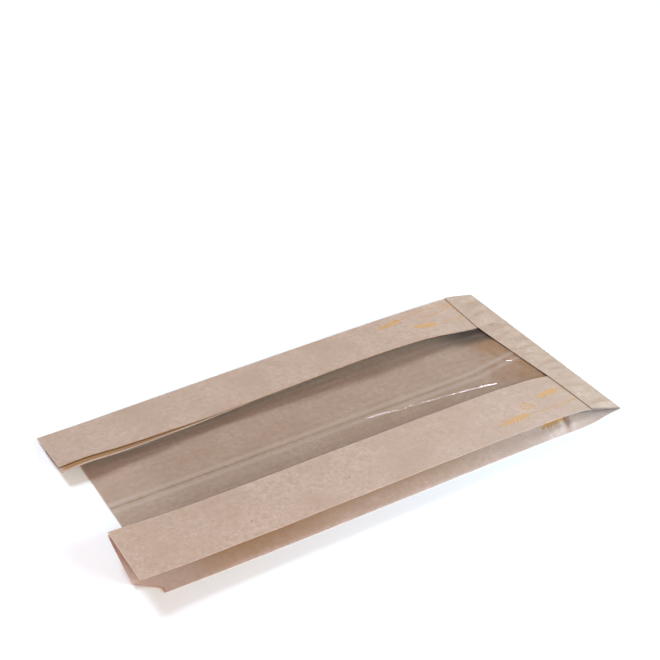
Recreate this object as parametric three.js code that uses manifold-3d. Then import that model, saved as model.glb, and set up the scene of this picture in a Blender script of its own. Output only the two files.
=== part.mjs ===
// Bread window bag: a flat bag with side gussets, made of two kraft paper webs and a clear film web.
// The bag lies on its back panel. +X runs from the open mouth to the folded bottom, +Y from the
// right-hand gusset (raised in this bag) to the left-hand one, +Z up. All sizes are in millimetres.

import * as THREE from 'three';
import { mergeVertices } from 'three/addons/utils/BufferGeometryUtils.js';
import Module from 'manifold-3d';

const wasm = await Module();
wasm.setup();

// Driving sizes of the flat bag
const bagLength = 370;
const faceWidth = 180;
const gussetDepth = 50;
const rightStripWidth = 49.5;
const leftStripWidth = 45;
const backSetback = 15.5;
const flapWidth = 27;

// Back seam: the left web laps over the right one, inside the bag
const seamFromRight = 87;
const seamLap = 10;

// Walls, the air between layers that touch, and the folds
const paperWall = 0.3;
const filmWall = 0.2;
const layerGap = 0.3;
const filmGlueWidth = 8;
const foldRadius = (paperWall + layerGap) / 2;
const bottomFoldRadius = 1.1;
const underFlap = 11;

// Corner cut where the gusset's lower panel steps back to the back panel at the mouth
const cornerCutStart = 15;
const cornerCutEnd = 4.5;

// How far the bag stands open: [share of the bag's length, height above the table]
const rightFoldRise = [[0, 17.4], [0.07, 16.3], [0.2, 15.4], [0.45, 15.3], [0.7, 14.9],
  [0.8, 14.2], [0.86, 13.2], [0.9, 11.6], [0.927, 8.9], [0.96, 5.5]];
const rightStripRise = [[0, 16.9], [0.07, 15.2], [0.17, 13.6], [0.5, 13.7], [0.76, 13.3],
  [0.86, 11.6], [0.9, 10.0], [0.927, 8.1], [0.96, 5.1]];
const leftFoldRise = [[0, 2.1], [0.16, 2.7], [0.33, 4.0], [0.6, 5.7], [0.75, 6.3],
  [0.86, 6.2], [0.927, 5.9], [0.96, 3.9]];
const leftStripRise = [[0, 7.2], [0.05, 7.7], [0.12, 6.9], [0.3, 6.4], [0.45, 8.2], [0.68, 10.2],
  [0.79, 9.0], [0.84, 7.0], [0.89, 4.6], [0.927, 2.9], [0.96, 2.45]];

// How deep the gusset's valley fold hangs under the strip's free edge, beyond the film's room
const rightValleyDrop = [[0, 1.6], [0.15, 0.3], [1, 0.3]];
const leftValleyDrop = [[0, 0.1], [0.3, 0.1], [0.5, 1.4], [0.68, 2.4], [0.79, 2.2], [0.86, 1.3],
  [0.927, 0.15], [0.96, 0]];

// Height of the flap's free edge at the right fold, at both window edges and at the left fold
const flapRightRise = 9.7;
const flapWindowRightRise = 8.9;
const flapWindowLeftRise = 3.7;
const flapLeftRise = 6.7;

// Sideways bow of the right bottom fold along the bag
const rightBottomBow = [[0, 0.5], [0.2, -1.2], [0.5, -1.9], [0.8, -2.5], [0.915, -3.4],
  [0.975, -0.6], [1, 0]];

// Sizes that follow from those above
const layerPitch = paperWall + layerGap;
const backLevel = paperWall / 2;
const filmDrop = paperWall / 2 + layerGap + filmWall / 2;
const filmRoom = filmDrop + filmWall / 2 + layerGap + paperWall / 2 + foldRadius;
const innerEnd = bagLength - flapWidth + underFlap;
const backEnd = bagLength - bottomFoldRadius;
const leftStripEdge = faceWidth - leftStripWidth;
const rightPaperColour = 0xc3ad9f;
const leftPaperColour = 0xc6b0a2;
const filmColour = 0xe9e6df;

// A smooth line through control values, read at a place along the bag
function along(controls, x) {
  const s = x / bagLength;
  const last = controls.length - 1;
  let i = 0;
  while (i < last - 1 && s > controls[i + 1][0]) i += 1;
  const [s0, v0] = controls[i];
  const [s1, v1] = controls[i + 1];
  const t = THREE.MathUtils.clamp((s - s0) / (s1 - s0), 0, 1);
  const slope = (a, b) => (controls[b][1] - controls[a][1]) / (controls[b][0] - controls[a][0]);
  const m0 = slope(Math.max(i - 1, 0), i + 1) * (s1 - s0);
  const m1 = slope(i, Math.min(i + 2, last)) * (s1 - s0);
  const rest = 1 - t;
  const hermiteEnds = v0 * (1 + 2 * t) * rest * rest + v1 * t * t * (3 - 2 * t);
  return hermiteEnds + m0 * t * rest * rest - m1 * t * t * rest;
}

// Height of the paper's middle in the right and the left front strip
function rightStripHeight(x, y) {
  return THREE.MathUtils.lerp(along(rightFoldRise, x), along(rightStripRise, x), y / rightStripWidth);
}

function leftStripHeight(x, y) {
  const share = (faceWidth - y) / leftStripWidth;
  return THREE.MathUtils.lerp(along(leftFoldRise, x), along(leftStripRise, x), share);
}

function rightValleyHeight(x) {
  return rightStripHeight(x, gussetDepth) - filmRoom - along(rightValleyDrop, x);
}

function leftValleyHeight(x) {
  return leftStripHeight(x, faceWidth - gussetDepth) - filmRoom - along(leftValleyDrop, x);
}

// A closed wall round a grid of points on the sheet's middle, as thick as asked at each row
function sheetWall(grid, thicknessAt) {
  const rows = grid.length;
  const columns = grid[0].length;
  const positions = [];
  for (const side of [0.5, -0.5]) {
    for (let i = 0; i < rows; i += 1) {
      for (let j = 0; j < columns; j += 1) {
        const alongRow = grid[i][Math.min(j + 1, columns - 1)].clone().sub(grid[i][Math.max(j - 1, 0)]);
        const alongColumn = grid[Math.min(i + 1, rows - 1)][j].clone().sub(grid[Math.max(i - 1, 0)][j]);
        const normal = alongColumn.cross(alongRow).normalize();
        const point = grid[i][j].clone().addScaledVector(normal, side * thicknessAt(i));
        positions.push(point.x, point.y, point.z);
      }
    }
  }
  const index = sheetFaces(rows, columns);
  const geometry = new THREE.BufferGeometry();
  geometry.setAttribute('position', new THREE.Float32BufferAttribute(positions, 3));
  geometry.setIndex(index);
  return facingOut(geometry);
}

// Triangles of both faces of a sheet and of its four edges
function sheetFaces(rows, columns) {
  const index = [];
  const top = (i, j) => i * columns + j;
  const under = (i, j) => rows * columns + i * columns + j;
  const quad = (a, b, c, d) => index.push(a, b, c, a, c, d);
  for (let i = 0; i < rows - 1; i += 1) {
    for (let j = 0; j < columns - 1; j += 1) {
      quad(top(i, j), top(i, j + 1), top(i + 1, j + 1), top(i + 1, j));
      quad(under(i, j), under(i + 1, j), under(i + 1, j + 1), under(i, j + 1));
    }
  }
  for (let i = 0; i < rows - 1; i += 1) {
    quad(top(i + 1, 0), under(i + 1, 0), under(i, 0), top(i, 0));
    quad(top(i, columns - 1), under(i, columns - 1), under(i + 1, columns - 1), top(i + 1, columns - 1));
  }
  for (let j = 0; j < columns - 1; j += 1) {
    quad(top(0, j), under(0, j), under(0, j + 1), top(0, j + 1));
    quad(top(rows - 1, j + 1), under(rows - 1, j + 1), under(rows - 1, j), top(rows - 1, j));
  }
  return index;
}

// Turns a closed geometry outside out, judged by the sign of its volume
function facingOut(geometry) {
  const p = geometry.attributes.position;
  const index = geometry.index.array;
  const a = new THREE.Vector3();
  const b = new THREE.Vector3();
  const c = new THREE.Vector3();
  let volume = 0;
  for (let k = 0; k < index.length; k += 3) {
    a.fromBufferAttribute(p, index[k]);
    b.fromBufferAttribute(p, index[k + 1]);
    c.fromBufferAttribute(p, index[k + 2]);
    volume += a.dot(b.cross(c));
  }
  if (volume < 0) {
    for (let k = 0; k < index.length; k += 3) {
      [index[k + 1], index[k + 2]] = [index[k + 2], index[k + 1]];
    }
  }
  return geometry;
}

function toSolid(geometry) {
  const merged = mergeVertices(geometry, 1e-5);
  return new wasm.Manifold(new wasm.Mesh({
    numProp: 3,
    vertProperties: new Float32Array(merged.attributes.position.array),
    triVerts: new Uint32Array(merged.index.array),
  }));
}

function toGeometry(solid) {
  const mesh = solid.getMesh();
  const geometry = new THREE.BufferGeometry();
  geometry.setAttribute('position', new THREE.BufferAttribute(new Float32Array(mesh.vertProperties), 3));
  geometry.setIndex(new THREE.BufferAttribute(new Uint32Array(mesh.triVerts), 1));
  return geometry;
}

// Evenly spaced shares from 0 to 1, ends included
function shares(steps) {
  return Array.from({ length: steps + 1 }, (_, k) => k / steps);
}

// One point of a web's cross-section: where it starts and ends along the bag, and its place there
function railPoint(start, end, y, z) {
  return { start, end, y, z };
}

// A half-round fold, bulging to the given side, from one layer to the next one up or down
function foldRails(start, end, foldY, side, z, upward) {
  const turns = [-90, -45, 0, 45, 90].map((degrees) => THREE.MathUtils.degToRad(degrees) * upward);
  return turns.map((turn) => railPoint(
    start,
    end,
    (x) => foldY(x) + side * foldRadius * Math.cos(turn),
    (x) => z(x) + foldRadius * Math.sin(turn),
  ));
}

// Where the mouth cut runs: square across the gusset, then along the corner cut to the back panel
function mouthCut(fromFold) {
  const share = (cornerCutStart - fromFold) / (cornerCutStart - cornerCutEnd);
  return backSetback * THREE.MathUtils.clamp(share, 0, 1);
}

// The lower gusset panel lies near the table at its fold and climbs to the valley
function lowerPanelHeight(valleyHeight, fromFold, lie, bend) {
  const low = backLevel + layerPitch;
  const climb = THREE.MathUtils.clamp((fromFold - lie) / (gussetDepth - lie), 0, 1);
  return low + (valleyHeight - foldRadius - low) * Math.pow(climb, bend);
}

// The upper panel hangs under the strip, close at the top fold and lower at the valley
function upperPanelHeight(stripHeight, valleyHeight, valleyStrip, fromFold) {
  const atValley = valleyStrip - valleyHeight - foldRadius;
  return stripHeight - THREE.MathUtils.lerp(layerPitch, atValley, fromFold / gussetDepth);
}

// The right web: front strip, top fold, upper panel, valley, lower panel, bottom fold, back panel
function rightWebRails() {
  const rails = [];
  const lie = 8;
  const bow = (x) => along(rightBottomBow, x);
  for (const s of shares(4)) {
    const y = rightStripWidth * (1 - s);
    rails.push(railPoint(0, innerEnd, () => y, (x) => rightStripHeight(x, y)));
  }
  rails.pop();
  const topFold = (x) => rightStripHeight(x, 0) - foldRadius;
  rails.push(...foldRails(0, innerEnd, () => 0, -1, topFold, -1));
  const upper = (x, y) => upperPanelHeight(rightStripHeight(x, y), rightValleyHeight(x),
    rightStripHeight(x, gussetDepth), y);
  for (const s of [0.25, 0.5, 0.75]) {
    const y = gussetDepth * s;
    rails.push(railPoint(0, innerEnd, () => y, (x) => upper(x, y)));
  }
  rails.push(...foldRails(0, innerEnd, () => gussetDepth - foldRadius, 1, rightValleyHeight, -1));
  for (const s of [0.84, 0.67, 0.5, 0.32, 0.2, 0.09]) {
    const y = gussetDepth * s;
    const height = (x) => lowerPanelHeight(rightValleyHeight(x), y, lie, 1.1);
    rails.push(railPoint(mouthCut(y), innerEnd, (x) => y + bow(x) * (1 - s), height));
  }
  const bottomFold = () => backLevel + foldRadius;
  rails.push(...foldRails(backSetback, innerEnd, bow, -1, bottomFold, -1));
  rails[rails.length - 1].end = backEnd;
  for (const s of [0.08, 0.5, 1]) {
    const y = (seamFromRight + seamLap) * s;
    rails.push(railPoint(backSetback, backEnd, () => y, () => backLevel));
  }
  return rails;
}

// The left web is the right one's mirror, and its back panel steps up onto the lap
function leftWebRails() {
  const rails = [];
  const lie = 0;
  for (const s of shares(4)) {
    const y = leftStripEdge + leftStripWidth * s;
    rails.push(railPoint(0, innerEnd, () => y, (x) => leftStripHeight(x, y)));
  }
  rails.pop();
  const topFold = (x) => leftStripHeight(x, faceWidth) - foldRadius;
  rails.push(...foldRails(0, innerEnd, () => faceWidth, 1, topFold, -1));
  const valleyStrip = (x) => leftStripHeight(x, faceWidth - gussetDepth);
  for (const s of [0.25, 0.5, 0.75]) {
    const y = faceWidth - gussetDepth * s;
    const height = (x) => upperPanelHeight(leftStripHeight(x, y), leftValleyHeight(x),
      valleyStrip(x), gussetDepth * s);
    rails.push(railPoint(0, innerEnd, () => y, height));
  }
  const valleyY = () => faceWidth - gussetDepth + foldRadius;
  rails.push(...foldRails(0, innerEnd, valleyY, -1, leftValleyHeight, -1));
  for (const s of [0.75, 0.5, 0.25, 0.09]) {
    const fromFold = gussetDepth * s;
    const height = (x) => lowerPanelHeight(leftValleyHeight(x), fromFold, lie, 1.5);
    rails.push(railPoint(mouthCut(fromFold), innerEnd, () => faceWidth - fromFold, height));
  }
  const bottomFold = () => backLevel + foldRadius;
  rails.push(...foldRails(backSetback, innerEnd, () => faceWidth, 1, bottomFold, -1));
  rails[rails.length - 1].end = backEnd;
  const lapStep = seamFromRight + seamLap + 2 * layerPitch;
  const lapEnd = bagLength - bottomFoldRadius;
  for (const y of [faceWidth - 0.04 * faceWidth, (faceWidth + lapStep) / 2, lapStep + paperWall]) {
    rails.push(railPoint(backSetback, backEnd, () => y, () => backLevel));
  }
  for (const y of [lapStep - 2 * layerPitch + paperWall, seamFromRight]) {
    rails.push(railPoint(backSetback, lapEnd, () => y, () => backLevel + layerPitch));
  }
  return rails;
}

// Shares of a web's length at which its cross-section is set, closer at the mouth and the bottom
const stationShares = [0, 0.02, 0.05, 0.09, 0.14, 0.2, 0.28, 0.36, 0.45, 0.54, 0.62, 0.69,
  0.75, 0.8, 0.85, 0.89, 0.92, 0.945, 0.97, 1];

// A web's wall: each rail is followed from the mouth to the bottom
function webWall(rails) {
  const grid = stationShares.map((share) => rails.map((rail) => {
    const x = THREE.MathUtils.lerp(rail.start, rail.end, share);
    return new THREE.Vector3(x, rail.y(x), rail.z(x));
  }));
  return sheetWall(grid, () => paperWall);
}

// Height of the flap: from the bottom fold up to its free edge, whose height changes across the bag
function flapHeight(x, y) {
  const level = (a, b, from, to) => THREE.MathUtils.mapLinear(y, a, b, from, to);
  let edge = level(leftStripEdge, faceWidth, flapWindowLeftRise, flapLeftRise);
  if (y < leftStripEdge) {
    edge = level(rightStripWidth, leftStripEdge, flapWindowRightRise, flapWindowLeftRise);
  }
  if (y < rightStripWidth) edge = level(0, rightStripWidth, flapRightRise, flapWindowRightRise);
  const folded = backLevel + 2 * bottomFoldRadius;
  const share = (backEnd - x) / (backEnd - (bagLength - flapWidth));
  return THREE.MathUtils.lerp(folded, edge, share);
}

// A flap of one web: it leaves the back panel's end, turns over and lies on the front
function flapWall(yPlaces, dropAt) {
  const rootLength = 1.2;
  const rootWall = paperWall * 0.6;
  const grid = [];
  const walls = [];
  const addRow = (xAt, zAt, wall) => {
    grid.push(yPlaces.map((y) => new THREE.Vector3(xAt(y), y, zAt(y))));
    walls.push(wall);
  };
  const root = (y) => backLevel + dropAt(y);
  const radius = (y) => bottomFoldRadius - dropAt(y);
  addRow(() => backEnd - rootLength, root, rootWall);
  addRow(() => backEnd, root, rootWall);
  for (const degrees of [-75, -45, 0, 45]) {
    const turn = THREE.MathUtils.degToRad(degrees);
    addRow((y) => backEnd + radius(y) * Math.cos(turn),
      (y) => backLevel + bottomFoldRadius + radius(y) * Math.sin(turn), paperWall);
  }
  for (const s of shares(4)) {
    const x = THREE.MathUtils.lerp(backEnd, bagLength - flapWidth, s);
    addRow(() => x, (y) => flapHeight(x, y) - dropAt(y), paperWall);
  }
  return sheetWall(grid, (row) => walls[row]);
}

function rightWeb() {
  const inset = paperWall;
  const lapEdge = seamFromRight + seamLap - inset;
  const places = [inset, rightStripWidth / 2, rightStripWidth, (rightStripWidth + lapEdge) / 2, lapEdge];
  const flap = flapWall(places, () => 0);
  return toGeometry(toSolid(webWall(rightWebRails())).add(toSolid(flap)));
}

function leftWeb() {
  const inset = paperWall;
  const lapEdge = seamFromRight + seamLap;
  const places = [seamFromRight + inset, lapEdge + inset, lapEdge + 2 * layerPitch + paperWall,
    (lapEdge + leftStripEdge) / 2, leftStripEdge, faceWidth - leftStripWidth / 2, faceWidth - inset];
  const flap = flapWall(places, (y) => (y < lapEdge + layerPitch ? layerPitch : 0));
  return toGeometry(toSolid(webWall(leftWebRails())).add(toSolid(flap)));
}

// The film is glued behind both strips and hangs between their free edges
function filmHeight(x, y) {
  if (y <= rightStripWidth) return rightStripHeight(x, y) - filmDrop;
  if (y >= leftStripEdge) return leftStripHeight(x, y) - filmDrop;
  const share = (y - rightStripWidth) / (leftStripEdge - rightStripWidth);
  const right = rightStripHeight(x, rightStripWidth);
  const left = leftStripHeight(x, leftStripEdge);
  return THREE.MathUtils.lerp(right, left, share) - filmDrop;
}

function windowFilm() {
  const edgeStart = rightStripWidth - filmGlueWidth;
  const edgeEnd = leftStripEdge + filmGlueWidth;
  const across = shares(6).map((s) => THREE.MathUtils.lerp(rightStripWidth, leftStripEdge, s));
  const places = [edgeStart, ...across, edgeEnd];
  const grid = stationShares.map((share) => places.map((y) => {
    const x = innerEnd * share;
    return new THREE.Vector3(x, y, filmHeight(x, y));
  }));
  return sheetWall(grid, () => filmWall);
}

function piece(name, geometry, colour, roughness, opacity) {
  geometry.computeVertexNormals();
  const material = new THREE.MeshStandardMaterial({
    color: colour,
    roughness,
    metalness: 0,
    transparent: opacity < 1,
    opacity,
  });
  const mesh = new THREE.Mesh(geometry, material);
  mesh.name = name;
  return mesh;
}

const bag = new THREE.Group();
bag.add(piece('right_kraft_web', rightWeb(), rightPaperColour, 0.85, 1));
bag.add(piece('left_kraft_web', leftWeb(), leftPaperColour, 0.85, 1));
bag.add(piece('window_film', windowFilm(), filmColour, 0.12, 0.25));

// The origin is the middle of the bag's bottom face
const extent = new THREE.Box3().setFromObject(bag);
const middle = extent.getCenter(new THREE.Vector3());
bag.position.set(-middle.x, -middle.y, -extent.min.z);

export default bag;
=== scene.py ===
import math

import bpy
import numpy as np
from mathutils import Matrix, Vector


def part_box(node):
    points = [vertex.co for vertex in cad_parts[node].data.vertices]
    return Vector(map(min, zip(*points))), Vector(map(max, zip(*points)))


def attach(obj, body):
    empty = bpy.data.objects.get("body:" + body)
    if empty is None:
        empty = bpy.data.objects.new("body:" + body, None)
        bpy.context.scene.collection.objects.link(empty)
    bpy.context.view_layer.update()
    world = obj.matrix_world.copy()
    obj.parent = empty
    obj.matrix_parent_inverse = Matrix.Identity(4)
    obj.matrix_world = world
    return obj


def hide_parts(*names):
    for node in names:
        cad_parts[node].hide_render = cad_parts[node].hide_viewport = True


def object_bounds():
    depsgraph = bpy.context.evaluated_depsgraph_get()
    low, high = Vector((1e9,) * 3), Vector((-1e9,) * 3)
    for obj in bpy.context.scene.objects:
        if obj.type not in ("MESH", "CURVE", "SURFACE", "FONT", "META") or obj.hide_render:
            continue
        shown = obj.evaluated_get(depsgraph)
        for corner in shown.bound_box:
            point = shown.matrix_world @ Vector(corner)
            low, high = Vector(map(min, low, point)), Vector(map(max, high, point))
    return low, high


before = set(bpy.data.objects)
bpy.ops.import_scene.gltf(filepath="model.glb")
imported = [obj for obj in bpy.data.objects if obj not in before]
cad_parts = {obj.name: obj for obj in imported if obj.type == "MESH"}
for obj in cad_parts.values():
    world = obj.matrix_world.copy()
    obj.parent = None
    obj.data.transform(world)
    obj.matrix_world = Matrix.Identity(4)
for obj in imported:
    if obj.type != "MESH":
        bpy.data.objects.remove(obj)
cad_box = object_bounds()

# Right kraft web: one length of light brown kraft paper, folded lengthwise into the right front
# strip, the two panels of the right gusset and the right part of the back panel. It was folded by
# machine, glued along the back seam, and its bottom end is turned up over the front and glued.

MM = 0.001
RIGHT_LOW, RIGHT_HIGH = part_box("right_kraft_web")
LEFT_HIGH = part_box("left_kraft_web")[1]
MOUTH_X = RIGHT_LOW.x / MM
BAG_LENGTH = (RIGHT_HIGH.x - RIGHT_LOW.x) / MM
FACE_WIDTH = 180.0
SIDE_FOLD_BULGE = 0.45
RIGHT_FOLD_Y = LEFT_HIGH.y / MM - SIDE_FOLD_BULGE - FACE_WIDTH
GUSSET_DEPTH = 50.0
RIGHT_STRIP = 49.5
BACK_SETBACK = 15.5
FLAP_WIDTH = 27.0
SEAM_Y = 87.0
SEAM_LAP = 10.0
CORNER_CUT_START = 15.0
CORNER_CUT_END = 4.5
PAPER_WALL = 0.08
LAYER_PITCH = 0.12
FLAP_START = BAG_LENGTH - FLAP_WIDTH

# Layers counted from the outer skin of the back panel; between whole numbers the paper turns over.
# All of them turn about one centre at the bottom fold.
BACK, LOWER, UPPER, FILM, STRIP = 0.0, 1.0, 2.0, 3.0, 4.0
FOLD_CENTRE_LAYER = 4.6

# Rows of the web: on the flat, beside the flap, under it, round the bottom fold and in the flap
FLAT_ROWS, NEAR_FLAP_ROWS, UNDER_FLAP_ROWS, FOLD_ROWS, FLAP_ROWS = 128, 34, 24, 7, 40

RIGHT_FOLD_RISE = [[0, 17.5], [0.07, 16.4], [0.2, 15.5], [0.45, 15.3], [0.7, 15.0],
                   [0.8, 14.2], [0.86, 13.4], [0.9, 12.0], [0.927, 9.4]]
RIGHT_STRIP_RISE = [[0, 16.8], [0.07, 15.1], [0.17, 13.7], [0.5, 13.8], [0.76, 13.3],
                    [0.86, 11.7], [0.9, 10.1], [0.927, 8.1]]
RIGHT_VALLEY_DROP = [[0, 2.9], [0.15, 1.6], [0.927, 1.5]]
RIGHT_BOTTOM_BOW = [[0, 0.5], [0.2, -1.2], [0.5, -1.9], [0.8, -2.5], [0.915, -3.4],
                    [0.975, -0.6], [1, 0]]
RIGHT_BELLY = 0.35
RIGHT_WAVE = 0.10


def along(controls, x):
    """A smooth line through the control values: between two of them a cubic whose slope at each
    control is that of the straight line between its neighbours."""
    shares, values = np.array(controls, float).T
    s = np.clip(np.asarray(x, float) / BAG_LENGTH, shares[0], shares[-1])
    i = np.clip(np.searchsorted(shares, s, side="right") - 1, 0, len(shares) - 2)
    before = np.maximum(np.arange(len(shares)) - 1, 0)
    after = np.minimum(np.arange(len(shares)) + 1, len(shares) - 1)
    slopes = (values[after] - values[before]) / (shares[after] - shares[before])
    step = shares[i + 1] - shares[i]
    t = (s - shares[i]) / step
    ends = values[i] * (1 + 2 * t) * (1 - t) ** 2 + values[i + 1] * t * t * (3 - 2 * t)
    return ends + slopes[i] * step * t * (1 - t) ** 2 - slopes[i + 1] * step * t * t * (1 - t)


def ease(low, high, value):
    """A step from 0 at low to 1 at high along 3t^2 - 2t^3."""
    t = np.clip((value - low) / (high - low), 0, 1)
    return t * t * (3 - 2 * t)


def ripple(x, y, wavelength, seed, terms=7):
    """Gentle waves from -1 to 1 or so: a sum of sines of like wavelength in seeded directions."""
    rng = np.random.default_rng(seed)
    total = np.zeros(np.broadcast(x, y).shape)
    for _ in range(terms):
        heading, phase = rng.uniform(0, math.pi), rng.uniform(0, 2 * math.pi)
        number = 2 * math.pi / (wavelength * rng.uniform(0.7, 1.5))
        total += np.sin(number * (x * math.cos(heading) + y * math.sin(heading)) + phase)
    return total / math.sqrt(terms)


def stack_height(layer):
    """Height of a layer's middle where all lie flat at the bottom end: one pitch for each layer."""
    return PAPER_WALL / 2 + LAYER_PITCH * layer


def right_front(x, y):
    """Height of the right strip: straight across from its fold to its free edge, with a slight
    belly along the sine of its share of the width and gentle waves."""
    x = np.minimum(x, FLAP_START)
    share = y / RIGHT_STRIP
    flat = along(RIGHT_FOLD_RISE, x) * (1 - share) + along(RIGHT_STRIP_RISE, x) * share
    belly = RIGHT_BELLY * np.sin(np.pi * np.clip(share, 0, 1)) * ease(0, 60, x)
    return flat + belly + RIGHT_WAVE * ripple(x, y, 55, 3)


def closing(x, open_height, layer):
    """Under the flap each layer runs in a straight line from its open height down to its place
    in the flat stack at the bottom fold."""
    share = np.clip((x - FLAP_START) / (BAG_LENGTH - FLAP_START), 0, 1)
    return open_height * (1 - share) + stack_height(layer) * share


def web_rows(start):
    """Distances from the mouth of the rows of a web: even on the flat, closer at the mouth's edge
    and near the flap. Each column shares out its own length, from its start to the flap."""
    at_mouth, even_from, even_to = [0, 0.0012, 0.0024], 0.006, 0.88
    shares = np.concatenate([at_mouth, np.linspace(even_from, even_to, FLAT_ROWS),
                             np.linspace(even_to, 1, NEAR_FLAP_ROWS + 1)[1:]])
    flat = shares[:, None] * (FLAP_START - start)[None, :] + start[None, :]
    under = np.linspace(FLAP_START, BAG_LENGTH, UNDER_FLAP_ROWS + 1)[1:, None] + 0 * start[None, :]
    return np.concatenate([flat, under])


def turned_up(flat, layers, y):
    """Carries a web on round the bottom fold and back over the front as the flap. Each layer turns
    on its own half circle about one centre line, so the outer skin ends on top, and the flap lies
    one whole stack above the front beneath it. Under the flap the rows are drawn in evenly, so that
    they end where the half circles begin."""
    x, z = flat[..., 0], flat[..., 2]
    centre = stack_height(FOLD_CENTRE_LAYER)
    radius = (FOLD_CENTRE_LAYER - layers) * LAYER_PITCH
    fold_x = BAG_LENGTH - (FOLD_CENTRE_LAYER - BACK) * LAYER_PITCH - PAPER_WALL / 2
    drawn_in = 1 - (fold_x - FLAP_START) / (BAG_LENGTH - FLAP_START)
    x = x - (x - FLAP_START) * (x > FLAP_START) * drawn_in
    turn = np.linspace(-90, 90, FOLD_ROWS + 2)[1:-1, None] * math.pi / 180
    arc_x = fold_x + radius * np.cos(turn)
    arc_z = centre + radius * np.sin(turn)
    flap_x = np.linspace(fold_x, FLAP_START, FLAP_ROWS)[:, None] + 0 * radius
    flap_z = flap_height(flap_x, y[-1]) - layers * LAYER_PITCH
    rows = [np.stack([x, flat[..., 1], z], -1)]
    rows.append(np.stack([arc_x, y[-1] + 0 * arc_x, arc_z], -1))
    rows.append(np.stack([flap_x, y[-1] + 0 * flap_x, flap_z], -1))
    return np.concatenate(rows)


FLAP_LIFT = 0.04
FLAP_THINNER = 0.22
FLAP_CREASE_FINE = 0.36
FLAP_CREASE_BROAD = 0.42


def flap_height(x, y):
    """Height of the flap's outer skin: the front beneath it plus the stack of folded layers, which
    is thinner over the window, with short creases square to the fold."""
    share = np.clip((x - FLAP_START) / (BAG_LENGTH - FLAP_START), 0, 1)
    top = stack_height(2 * FOLD_CENTRE_LAYER)
    edge = front_height(np.full_like(x, FLAP_START), y) + top - stack_height(STRIP)
    thinner = FLAP_THINNER * ease(50, 62, y) * (1 - ease(122, 134, y))
    loose = np.sin(np.pi * share) ** 0.7
    fine, broad = ripple(0.35 * x, y, 8, 21), ripple(0.5 * x, y, 22, 22)
    creases = FLAP_CREASE_FINE * fine + FLAP_CREASE_BROAD * broad
    return (edge - thinner) * (1 - share) + top * share + loose * creases + FLAP_LIFT


def sheet_arrays(grid, wall):
    """Both faces of a sheet and its rim: the middle surface is moved half a wall each way along
    its normal, which is the cross product of its two directions."""
    down, across = np.gradient(grid, axis=0), np.gradient(grid, axis=1)
    normal = np.cross(down, across)
    normal /= np.maximum(np.linalg.norm(normal, axis=-1, keepdims=True), 1e-9)
    rows, columns = grid.shape[:2]
    count = rows * columns
    points = np.concatenate([grid + normal * wall / 2, grid - normal * wall / 2]).reshape(-1, 3)
    ids = np.arange(count).reshape(rows, columns)
    a, b, c, d = ids[:-1, :-1], ids[:-1, 1:], ids[1:, 1:], ids[1:, :-1]
    upper = np.stack([a, d, c, b], -1).reshape(-1, 4)
    under = np.stack([a, b, c, d], -1).reshape(-1, 4) + count
    ring = np.concatenate([ids[0, :-1], ids[:-1, -1], ids[-1, :0:-1], ids[:0:-1, 0]])
    after = np.roll(ring, -1)
    rim = np.stack([ring, after, after + count, ring + count], -1)
    return points, np.concatenate([upper, under, rim])


def to_frame(points):
    """Places points given in mm from the mouth and the right fold in the frame, in metres."""
    return (points + np.array([MOUTH_X, RIGHT_FOLD_Y, 0.0])) * MM


SHARP_EDGE = math.radians(38)


def make_piece(name, parts, material, tones=None):
    """One object out of closed bodies, each a pair of its points in mm and its four-cornered faces.
    Tones are values per point that the material reads by name."""
    points = np.concatenate([p for p, _ in parts])
    starts = np.cumsum([0] + [len(p) for p, _ in parts[:-1]])
    faces = np.concatenate([f + s for (_, f), s in zip(parts, starts)])
    mesh = bpy.data.meshes.new(name)
    mesh.from_pydata(to_frame(points).tolist(), [], faces.tolist())
    mesh.shade_smooth()
    mesh.set_sharp_from_angle(angle=SHARP_EDGE)
    mesh.materials.append(material)
    for tone, values in (tones or {}).items():
        mesh.attributes.new(tone, "FLOAT", "POINT").data.foreach_set("value", values)
    piece = bpy.data.objects.new(name, mesh)
    bpy.context.scene.collection.objects.link(piece)
    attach(piece, "root")
    return piece


def new_material(name):
    """A material of the given name, ready to hold nodes."""
    material = bpy.data.materials.new(name)
    material.use_nodes = True
    return material


def add_node(owner, kind, values=None, **settings):
    """A shader node of a material or of the world, with its settings and its inputs' values. An
    input's value is plain, or another node's output, which is linked to it."""
    node = owner.node_tree.nodes.new(kind)
    for setting, value in settings.items():
        setattr(node, setting, value)
    for socket, value in (values or {}).items():
        if isinstance(value, bpy.types.NodeSocket):
            link(owner, value, node.inputs[socket])
        else:
            node.inputs[socket].default_value = value
    return node


def link(owner, source, target):
    """Joins a node's output to the input of another."""
    owner.node_tree.links.new(source, target)


KRAFT_BROWN = (0.665, 0.505, 0.41, 1)
KRAFT_DEEP = (0.525, 0.375, 0.285, 1)
FIBRE_SHADE = (0.40, 0.28, 0.19, 1)
FLECK_COLOUR = (0.33, 0.20, 0.11, 1)
# Painted light and shade in the paper: a warm shade, a deep shade and a pale highlight
WARM_SHADE_TONE = (0.43, 0.225, 0.09, 1)
DEEP_SHADE_TONE = (0.08, 0.05, 0.03, 1)
HIGHLIGHT_PALE = (0.74, 0.63, 0.56, 1)
LIGHT_THROUGH_PAPER = (0.85, 0.46, 0.19, 1)
THROUGH_SHARE = 0.28


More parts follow.
